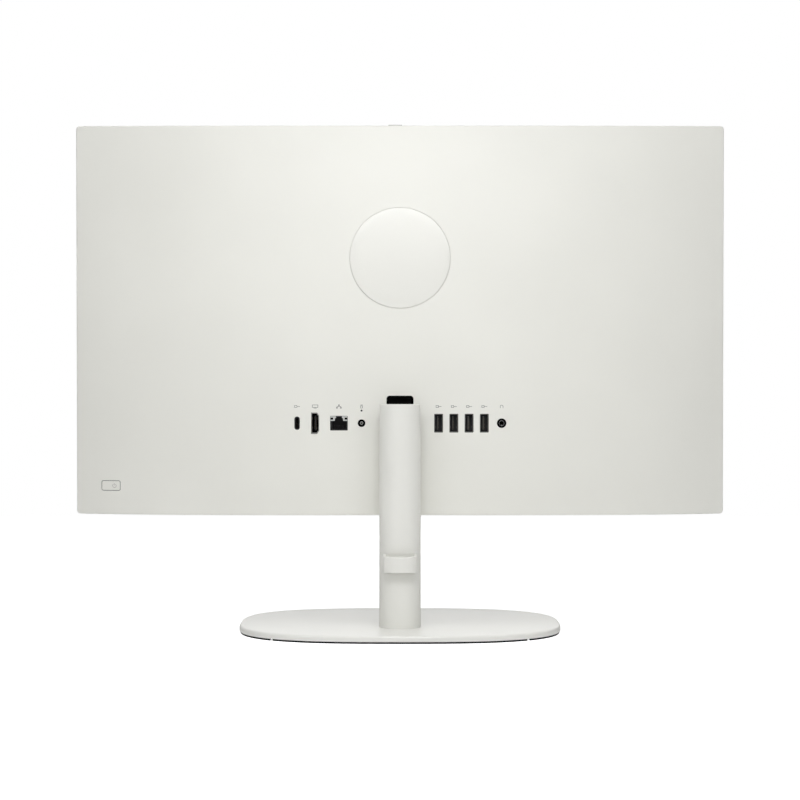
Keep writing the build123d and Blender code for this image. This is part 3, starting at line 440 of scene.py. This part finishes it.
def add_box(bm, x, y, z):
    """Box between the low and high limits given for each axis."""
    outline = [(x[0], z[0]), (x[1], z[0]), (x[1], z[1]), (x[0], z[1])]
    add_prism(bm, outline, at_depth(y[0]), at_depth(y[1]))


def add_stroke(bm, points, width, depth):
    """Printed line through the points: a thin closed ribbon that stands just proud of the surface."""
    for (x0, z0), (x1, z1) in zip(points, points[1:]):
        length = math.hypot(x1 - x0, z1 - z0)
        along_x, along_z = (x1 - x0) / length * width / 2, (z1 - z0) / length * width / 2
        outline = [
            (x0 - along_x + along_z, z0 - along_z - along_x),
            (x1 + along_x + along_z, z1 + along_z - along_x),
            (x1 + along_x - along_z, z1 + along_z + along_x),
            (x0 - along_x - along_z, z0 - along_z + along_x),
        ]
        add_prism(bm, outline, depth(INK_FOOT), depth(INK_HEIGHT))


def make_piece(name, bm, paint, body, soften=0.0):
    """Object from a bmesh, with its finish, that rides on a body."""
    bmesh.ops.recalc_face_normals(bm, faces=bm.faces)
    mesh = bpy.data.meshes.new(name)
    bm.to_mesh(mesh)
    bm.free()
    mesh.materials.append(paint)
    for face in mesh.polygons:
        face.use_smooth = True
    obj = bpy.data.objects.new(name, mesh)
    bpy.context.scene.collection.objects.link(obj)
    if soften:
        edge = obj.modifiers.new("soft_edges", "BEVEL")
        edge.width = soften
        edge.segments = 2
        edge.limit_method = "ANGLE"
        edge.angle_limit = SHARP_ANGLE
        edge.harden_normals = True
    else:
        mesh.set_sharp_from_angle(angle=SHARP_ANGLE)
    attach(obj, body)
    return obj


# ---------------------------------------------------------------- emblem

BADGE_RISE = 0.68 * MM
BADGE_ROUNDING = 0.62 * MM
BADGE_FOOT = -0.9 * MM
BADGE_GAP = 0.05 * MM
BADGE_STEPS = 144
FLAT_RINGS = 8
ROUND_RINGS = 5


def make_emblem(paints):
    """Plain round badge that follows the crown, with a rounded edge."""
    low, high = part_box("emblem_disc")
    centre_z = (low.z + high.z) / 2
    radius = (high.x - low.x) / 2
    flat = radius - BADGE_ROUNDING - BADGE_GAP
    profile = [(flat * n / FLAT_RINGS, BADGE_RISE) for n in range(1, FLAT_RINGS + 1)]
    for n in range(1, ROUND_RINGS + 1):
        turn = math.radians(90 * n / ROUND_RINGS)
        height = BADGE_RISE - BADGE_ROUNDING * (1 - math.cos(turn))
        profile.append((flat + BADGE_ROUNDING * math.sin(turn), height))
    profile.append((flat + BADGE_ROUNDING, BADGE_FOOT))
    bm = bmesh.new()
    centre = bm.verts.new((0, cover_y(0, centre_z) + profile[0][1], centre_z))
    last = None
    for ring_radius, height in profile:
        ring = layer(bm, circle(0, centre_z, ring_radius, BADGE_STEPS), on_cover(height))
        if last:
            wall(bm, last, ring)
        else:
            for n in range(len(ring)):
                bm.faces.new((centre, ring[n], ring[(n + 1) % len(ring)]))
        last = ring
    bm.faces.new(last)
    badge = make_piece("emblem_badge", bm, paints["emblem"], "display_head")
    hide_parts("emblem_disc")


# ---------------------------------------------------------------- connectors

LEAF_HALF_HEIGHT = 0.9 * MM


def span(centre, half):
    return (centre - half, centre + half)


def inside(back, front):
    """Depth limits, given in millimetres behind the connectors' face."""
    return (PORT_FACE_Y - back * MM, PORT_FACE_Y - front * MM)


def add_leaves(bm, x, wall_aside, places, bulge, depths):
    """Spring leaves on the inner side walls of a socket's shell."""
    for side in (-1, 1):
        for leaf_z in places:
            wall_x = x + side * wall_aside
            leaf_x = sorted((wall_x, wall_x - side * bulge))
            add_box(bm, leaf_x, depths, span(PORT_Z + leaf_z, LEAF_HALF_HEIGHT))


def make_usb_a_ports(paints):
    """Four upright sockets: folded shells with spring leaves, tongues, contacts and black backs."""
    width, height = USB_A_SIZE
    face, back = PORT_FACE_Y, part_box("usb_a_ports")[0].y
    sheet, outer_corner, inner_corner = 0.42 * MM, 0.5 * MM, 0.25 * MM
    leaf_places, leaf_bulge = (-3.4 * MM, 3.4 * MM), 0.35 * MM
    cavity_depth = 9.5 * MM
    tongue_aside, tongue_half_height = 0.6 * MM, 5.5 * MM
    thin_tongues, thin_half, thick_half = 2, 0.38 * MM, 0.55 * MM
    contact_places, contact_half_width = (-3.5 * MM, -1.0 * MM, 1.0 * MM, 3.5 * MM), 0.5 * MM
    contact_rise, contact_sunk = 0.09 * MM, 0.05 * MM
    shells, backs, tongues, contacts = bmesh.new(), bmesh.new(), bmesh.new(), bmesh.new()
    for number, x in enumerate(USB_A_X):
        outer = rectangle(x, PORT_Z, width, height, outer_corner)
        inner = rectangle(x, PORT_Z, width - 2 * sheet, height - 2 * sheet, inner_corner)
        add_ring(shells, outer, inner, at_depth(back), at_depth(face))
        add_leaves(shells, x, width / 2 - sheet, leaf_places, leaf_bulge, inside(7, 2.4))
        add_prism(backs, inner, at_depth(back), at_depth(face - cavity_depth))
        half_thickness = thin_half if number < thin_tongues else thick_half
        tongue_x = span(x + tongue_aside, half_thickness)
        add_box(tongues, tongue_x, inside(10, 1.5), span(PORT_Z, tongue_half_height))
        for contact_z in contact_places:
            strip_x = (tongue_x[0] - contact_rise, tongue_x[0] + contact_sunk)
            add_box(contacts, strip_x, inside(9, 2.2), span(PORT_Z + contact_z, contact_half_width))
    shell = make_piece("usb_a_shells", shells, paints["leaf_grey"], "display_head", 0.06 * MM)
    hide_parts("usb_a_ports")
    make_piece("usb_a_backs", backs, paints["chip"], "display_head")
    make_piece("usb_a_tongues", tongues, paints["tongue_grey"], "display_head", 0.15 * MM)
    make_piece("usb_a_contacts", contacts, paints["contact_gold"], "display_head", 0.03 * MM)


def make_usb_c_port(paints):
    """Upright round-ended socket: black surround, drawn shell, thin tongue and two rows of contacts."""
    x = mounts["usb_c_socket"].x
    width, height = USB_C_SIZE
    face, back = PORT_FACE_Y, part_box("usb_c_port")[0].y
    round_steps = 8
    cavity_depth, shell_sunk = 6.4 * MM, 0.25 * MM
    tongue_half_thickness, tongue_half_height = 0.35 * MM, 3.3 * MM
    pins, pin_pitch, pin_half_width = 12, 0.5 * MM, 0.12 * MM
    pin_foot, pin_top = 0.30 * MM, 0.40 * MM
    outer = rectangle(x, PORT_Z, width, height, width / 2 - 0.01 * MM, round_steps)
    middle = rectangle(x, PORT_Z, 3.1 * MM, 9.4 * MM, 1.54 * MM, round_steps)
    inner = rectangle(x, PORT_Z, 2.6 * MM, 8.9 * MM, 1.29 * MM, round_steps)
    surround, shell, tongue, contacts = bmesh.new(), bmesh.new(), bmesh.new(), bmesh.new()
    add_ring(surround, outer, middle, at_depth(back), at_depth(face))
    add_prism(surround, inner, at_depth(back), at_depth(face - cavity_depth))
    add_ring(shell, middle, inner, at_depth(back), at_depth(face - shell_sunk))
    add_box(tongue, span(x, tongue_half_thickness), inside(7, 1.2), span(PORT_Z, tongue_half_height))
    for row in (-1, 1):
        for n in range(pins):
            pin_z = PORT_Z + (n - (pins - 1) / 2) * pin_pitch
            pin_x = sorted((x + row * pin_foot, x + row * pin_top))
            add_box(contacts, pin_x, inside(6.4, 1.7), span(pin_z, pin_half_width))
    black = paints["black_plastic"]
    body = make_piece("usb_c_surround", surround, black, "display_head", 0.08 * MM)
    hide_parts("usb_c_port")
    make_piece("usb_c_shell", shell, black, "display_head", 0.05 * MM)
    # The tongue deep in the socket takes the near-black painted shade, not its black plastic
    make_piece("usb_c_tongue", tongue, paints["painted_shade_black"], "display_head", 0.08 * MM)
    make_piece("usb_c_contacts", contacts, paints["contact_gold"], "display_head")


def make_hdmi_port(paints):
    """Upright bevelled socket: folded shell, a back in near-black painted shade, tongue and contacts."""
    x = mounts["hdmi_socket"].x
    width, height = HDMI_SIZE
    face, back = PORT_FACE_Y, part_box("hdmi_port")[0].y
    sheet, end = 0.35 * MM, 0.6 * MM
    leaf_places, leaf_bulge = (-4 * MM, 4 * MM), 0.3 * MM
    cavity_depth, tongue_half_height = 8 * MM, 6 * MM
    tongue_x = (x - 0.9 * MM, x + 0.3 * MM)
    pins, pin_pitch, pin_half_width = 10, 1.0 * MM, 0.22 * MM
    pin_rows = ((x - 0.98 * MM, x - 0.85 * MM), (x + 0.25 * MM, x + 0.38 * MM))
    outer = bevelled(x, PORT_Z, width, height, HDMI_BEVEL)
    inner = bevelled(x, PORT_Z, width - 2 * sheet, height - 2 * end, HDMI_BEVEL)
    shell, backing, tongue, contacts = bmesh.new(), bmesh.new(), bmesh.new(), bmesh.new()
    add_ring(shell, outer, inner, at_depth(back), at_depth(face))
    add_leaves(shell, x, width / 2 - sheet, leaf_places, leaf_bulge, inside(6, 2))
    add_prism(backing, inner, at_depth(back), at_depth(face - cavity_depth))
    add_box(tongue, tongue_x, inside(9, 1.6), span(PORT_Z, tongue_half_height))
    for n in range(pins):
        pin_z = PORT_Z + (n - (pins - 1) / 2) * pin_pitch
        for pin_x in pin_rows:
            add_box(contacts, pin_x, inside(8, 2.2), span(pin_z, pin_half_width))
    body = make_piece("hdmi_shell", shell, paints["rim_grey"], "display_head", 0.06 * MM)
    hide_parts("hdmi_port")
    # The back of the cavity is near-black painted shade
    make_piece("hdmi_back", backing, paints["painted_shade_black"], "display_head")
    make_piece("hdmi_tongue", tongue, paints["black_plastic"], "display_head", 0.12 * MM)
    make_piece("hdmi_contacts", contacts, paints["contact_gold"], "display_head")


def make_lan_details(paints):
    """Lamp windows in the upper corners of the network socket, and its eight spring contacts."""
    x, face = mounts["lan_socket"].x, PORT_FACE_Y
    window_outline = [(7.0, 5.75), (2.5, 5.75), (2.5, 4.2), (3.4, 4.2), (3.4, 1.9), (7.0, 1.9)]
    window_back, window_front = face - 0.6 * MM, face + 0.05 * MM
    lamp_back, lamp_front = face - 0.2 * MM, face + 0.12 * MM
    lamp_near, lamp_far = 4.7 * MM, 6.95 * MM
    lamp_z = (PORT_Z + 2.95 * MM, PORT_Z + 4.65 * MM)
    wires, wire_pitch = 8, 1.02 * MM
    wire_half_width, wire_half_height = 0.17 * MM, 0.12 * MM
    foot, tip = (face - 9.5 * MM, PORT_Z - 4.6 * MM), (face - 3.2 * MM, PORT_Z - 1.6 * MM)
    windows, lamps, springs = bmesh.new(), bmesh.new(), bmesh.new()
    for side in (-1, 1):
        outline = [(x + side * px * MM, PORT_Z + pz * MM) for px, pz in window_outline]
        add_prism(windows, outline, at_depth(window_back), at_depth(window_front))
        lamp_x = sorted((x + side * lamp_near, x + side * lamp_far))
        add_box(lamps, lamp_x, (lamp_back, lamp_front), lamp_z)
    for n in range(wires):
        wire_x = x + (n - (wires - 1) / 2) * wire_pitch
        corners = []
        for side_x in (-wire_half_width, wire_half_width):
            for y, z in (foot, tip):
                for lift in (-wire_half_height, wire_half_height):
                    corners.append(springs.verts.new((wire_x + side_x, y, z + lift)))
        a, b, c, d, e, f, g, h = corners
        ends = ((a, b, d, c), (e, f, h, g), (a, b, f, e))
        sides = ((c, d, h, g), (a, c, g, e), (b, d, h, f))
        for face_corners in ends + sides:
            springs.faces.new(face_corners)
    make_piece("lan_lamp_windows", windows, paints["lamp_window"], "display_head", 0.05 * MM)
    # The lamps are drawn in the near-black painted shade
    make_piece("lan_lamps", lamps, paints["painted_shade_black"], "display_head", 0.05 * MM)
    make_piece("lan_contacts", springs, paints["chip"], "display_head")


def make_round_ports(paints):
    """Hollow pin of the power inlet, and the ring and leaf of the audio socket."""
    face = PORT_FACE_Y
    pin_radius, pin_bore = 1.3 * MM, 0.62 * MM
    pin_depths = inside(8, 0.9)
    ring_radius, ring_bore = 2.35 * MM, 1.85 * MM
    leaf_half_width = 0.4 * MM
    pin = bmesh.new()
    x = mounts["power_inlet"].x
    outer, inner = circle(x, PORT_Z, pin_radius), circle(x, PORT_Z, pin_bore)
    add_ring(pin, outer, inner, at_depth(pin_depths[0]), at_depth(pin_depths[1]))
    make_piece("power_pin", pin, paints["bright_nickel"], "display_head", 0.12 * MM)
    ring, leaf = bmesh.new(), bmesh.new()
    x = mounts["audio_socket"].x
    outer, inner = circle(x, PORT_Z, ring_radius), circle(x, PORT_Z, ring_bore)
    add_ring(ring, outer, inner, at_depth(face - 0.4 * MM), at_depth(face + 0.1 * MM))
    make_piece("audio_ring", ring, paints["port_metal"], "display_head", 0.08 * MM)
    leaf_z = (PORT_Z - 2.3 * MM, PORT_Z - 1.4 * MM)
    add_box(leaf, span(x, leaf_half_width), (face - 2 * MM, face + 0.15 * MM), leaf_z)
    make_piece("audio_leaf", leaf, paints["bright_nickel"], "display_head", 0.05 * MM)


# ---------------------------------------------------------------- printed marks


def arc(x, z, radius, start, end, steps=16):
    """Points along an arc between two angles in degrees."""
    turns = [math.radians(start + (end - start) * n / steps) for n in range(steps + 1)]
    return [(x + radius * math.cos(turn), z + radius * math.sin(turn)) for turn in turns]


def frame_line(x, z, width, height):
    """Points once round a rectangle."""
    right, left, top, bottom = x + width / 2, x - width / 2, z + height / 2, z - height / 2
    return [(left, bottom), (right, bottom), (right, top), (left, top), (left, bottom)]


def make_port_icons(paints):
    """Small printed pictograms over the connectors: plugs, a screen, a network, a barrel and a headset."""
    bm = bmesh.new()
    line = 0.33 * MM

    def draw(points):
        add_stroke(bm, points, line, on_cover)

    for x in USB_A_X + [mounts["usb_c_socket"].x]:
        draw(frame_line(x + 1.1 * MM, ICON_Z, 2.0 * MM, 1.5 * MM))
        draw([(x + 0.1 * MM, ICON_Z), (x - 2.2 * MM, ICON_Z)])
    x = mounts["hdmi_socket"].x
    draw(frame_line(x, ICON_Z + 0.3 * MM, 4.6 * MM, 2.0 * MM))
    draw([(x - 1.1 * MM, ICON_Z - 1.3 * MM), (x + 1.1 * MM, ICON_Z - 1.3 * MM)])
    x = mounts["lan_socket"].x
    draw([(x, ICON_Z + 0.6 * MM), (x, ICON_Z)])
    branch = [(-1.6, -0.6), (-1.6, 0), (1.6, 0), (1.6, -0.6)]
    draw([(x + along * MM, ICON_Z + up * MM) for along, up in branch])
    for side, drop in ((0, 1.1), (-1.6, -1.1), (1.6, -1.1)):
        draw(frame_line(x + side * MM, ICON_Z + drop * MM, 0.9 * MM, 0.7 * MM))
    x = mounts["power_inlet"].x
    draw(frame_line(x, ICON_Z - 0.4 * MM, 1.7 * MM, 1.7 * MM))
    draw([(x - 0.45 * MM, ICON_Z + 0.5 * MM), (x - 0.45 * MM, ICON_Z + 1.6 * MM)])
    draw([(x + 0.45 * MM, ICON_Z + 0.5 * MM), (x + 0.45 * MM, ICON_Z + 1.6 * MM)])
    x = mounts["audio_socket"].x
    draw(arc(x, ICON_Z, 1.15 * MM, -10, 190))
    for side in (-1, 1):
        draw([(x + side * 1.15 * MM, ICON_Z - 0.2 * MM), (x + side * 1.15 * MM, ICON_Z - 1.2 * MM)])
    make_piece("port_icons", bm, paints["icon_ink"], "display_head")


# The power mark, its distance from the button's centre being a share of the button's width
MARK_ASIDE = 0.19
MARK_RADIUS = 1.5 * MM
MARK_LINE = 0.4 * MM
# Depths of the near-black ring of painted shade in the button's gap, behind the cover's face
GAP_SHADE_FOOT = -1.3 * MM
GAP_SHADE_TOP = -0.3 * MM


def make_button_details(paints):
    """Power mark printed off the button's centre, and a near-black ring in the gap round the button that
    paints the seam's shade.
    """
    low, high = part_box("power_button")
    x, z = (low.x + high.x) / 2, (low.z + high.z) / 2
    mark_x = x - MARK_ASIDE * BUTTON_FACE[0]
    mark = bmesh.new()
    add_stroke(mark, arc(mark_x, z - 0.1 * MM, MARK_RADIUS, -235, 55, 28), MARK_LINE, on_cover)
    add_stroke(mark, [(mark_x, z + 0.3 * MM), (mark_x, z + 1.8 * MM)], MARK_LINE, on_cover)
    make_piece("power_mark", mark, paints["button_ink"], "power_button")
    width, height = BUTTON_FACE
    # Near-black ring in the gap: painted shade of the seam round the button
    gap_shade = bmesh.new()
    outer = rectangle(x, z, width + 1.3 * MM, height + 1.3 * MM, 1.5 * MM)
    inner = rectangle(x, z, width + 0.1 * MM, height + 0.1 * MM, 1.1 * MM)
    add_ring(gap_shade, outer, inner, on_cover(GAP_SHADE_FOOT), on_cover(GAP_SHADE_TOP))
    make_piece("button_gap_shade", gap_shade, paints["painted_shade_black"], "display_head")


# ---------------------------------------------------------------- screen side

SCREEN_SIZE = (527.0 * MM, 296.5 * MM)
SCREEN_CORNER = 0.3 * MM


def make_screen(paints):
    """Visible screen area with its black printed border, in front of the panel."""
    low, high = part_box("lcd_panel")
    x, z = (low.x + high.x) / 2, (low.z + high.z) / 2
    active = rectangle(x, z - 0.1 * MM, *SCREEN_SIZE, SCREEN_CORNER)
    edge = rectangle(x, z, high.x - low.x, high.z - low.z, SCREEN_CORNER)
    area, border = bmesh.new(), bmesh.new()
    add_prism(area, active, at_depth(low.y - 0.03 * MM), at_depth(low.y + 0.05 * MM))
    add_ring(border, edge, active, at_depth(low.y - 0.05 * MM), at_depth(low.y + 0.05 * MM))
    make_piece("screen_area", area, paints["screen_glass"], "display_head")
    make_piece("screen_border", border, paints["lens_glass"], "display_head")


def make_camera_lens(paints):
    """Domed lens with a stepped ring behind the camera hole, both clear of the shutter's blade."""
    low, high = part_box("camera_module")
    z = (low.z + high.z) / 2 + 0.1 * MM
    ring, lens = bmesh.new(), bmesh.new()
    for outer, inner, rise in ((1.4, 0.95, 0.20), (1.05, 0.8, 0.12)):
        edges = circle(0, z, outer * MM), circle(0, z, inner * MM)
        add_ring(ring, *edges, at_depth(low.y - rise * MM), at_depth(low.y + 0.1 * MM))
    last = None
    for radius, rise in ((0.82, 0.0), (0.7, 0.07), (0.5, 0.12), (0.25, 0.15)):
        circle_ring = layer(lens, circle(0, z, radius * MM), at_depth(low.y - 0.02 * MM - rise * MM))
        if last:
            wall(lens, last, circle_ring)
        else:
            lens.faces.new(circle_ring)
        last = circle_ring
    lens.faces.new(last)
    make_piece("camera_ring", ring, paints["black_plastic"], "display_head", 0.05 * MM)
    make_piece("camera_lens", lens, paints["lens_glass"], "display_head")


# ---------------------------------------------------------------- build

make_camera()
make_world()
make_floor()
make_lights()
paints = make_materials()
paint_nodes(paints)
paints.update(extra_materials())
# The hinge opening and the jack bores take the near-black painted shade
for node in ("hinge_socket", "dc_jack", "audio_jack"):
    nodes[node].material_slots[0].material = paints["painted_shade_black"]
make_emblem(paints)
make_usb_a_ports(paints)
make_usb_c_port(paints)
make_hdmi_port(paints)
make_lan_details(paints)
make_round_ports(paints)
make_port_icons(paints)
make_button_details(paints)
make_screen(paints)
make_camera_lens(paints)
bpy.context.scene.view_settings.view_transform = "Standard"
